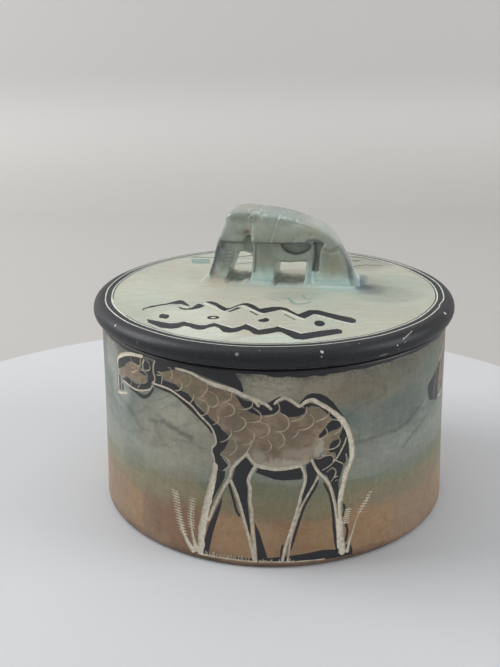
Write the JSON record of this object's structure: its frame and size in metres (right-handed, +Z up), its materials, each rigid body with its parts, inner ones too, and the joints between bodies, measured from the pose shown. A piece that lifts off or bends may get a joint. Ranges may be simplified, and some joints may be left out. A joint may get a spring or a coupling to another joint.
{
  "type": "trinket box",
  "caption": "Round soapstone trinket box: turned pot with a lift-off lid that has a black rounded rim and an elephant carved on it as its handle.",
  "frame": {"origin": "centre of the flat base, on the surface the box stands on", "axes": "+Z up along the turning axis; -Y is the front, where the giraffe walks to the left; the elephant faces -X, turned 13.5 degrees clockwise seen from above"},
  "size_m": [0.0918, 0.0918, 0.0732],
  "materials": {
    "painted_pot_stone": "dye-washed and waxed soapstone with black brushwork and incised lines",
    "painted_lid_stone": "pale waxed soapstone, black painted rim and zigzag bands, blue-green dye at the elephant's feet"
  },
  "bodies": {
    "pot": {"box_body": "painted_pot_stone"},
    "lid": {"lid": "painted_lid_stone"}
  },
  "joints": [
    {"name": "lid_lift", "type": "slide", "parent": "pot", "child": "lid", "axis": [0, 0, 1], "range_m": [0, 0.08]}
  ]
}
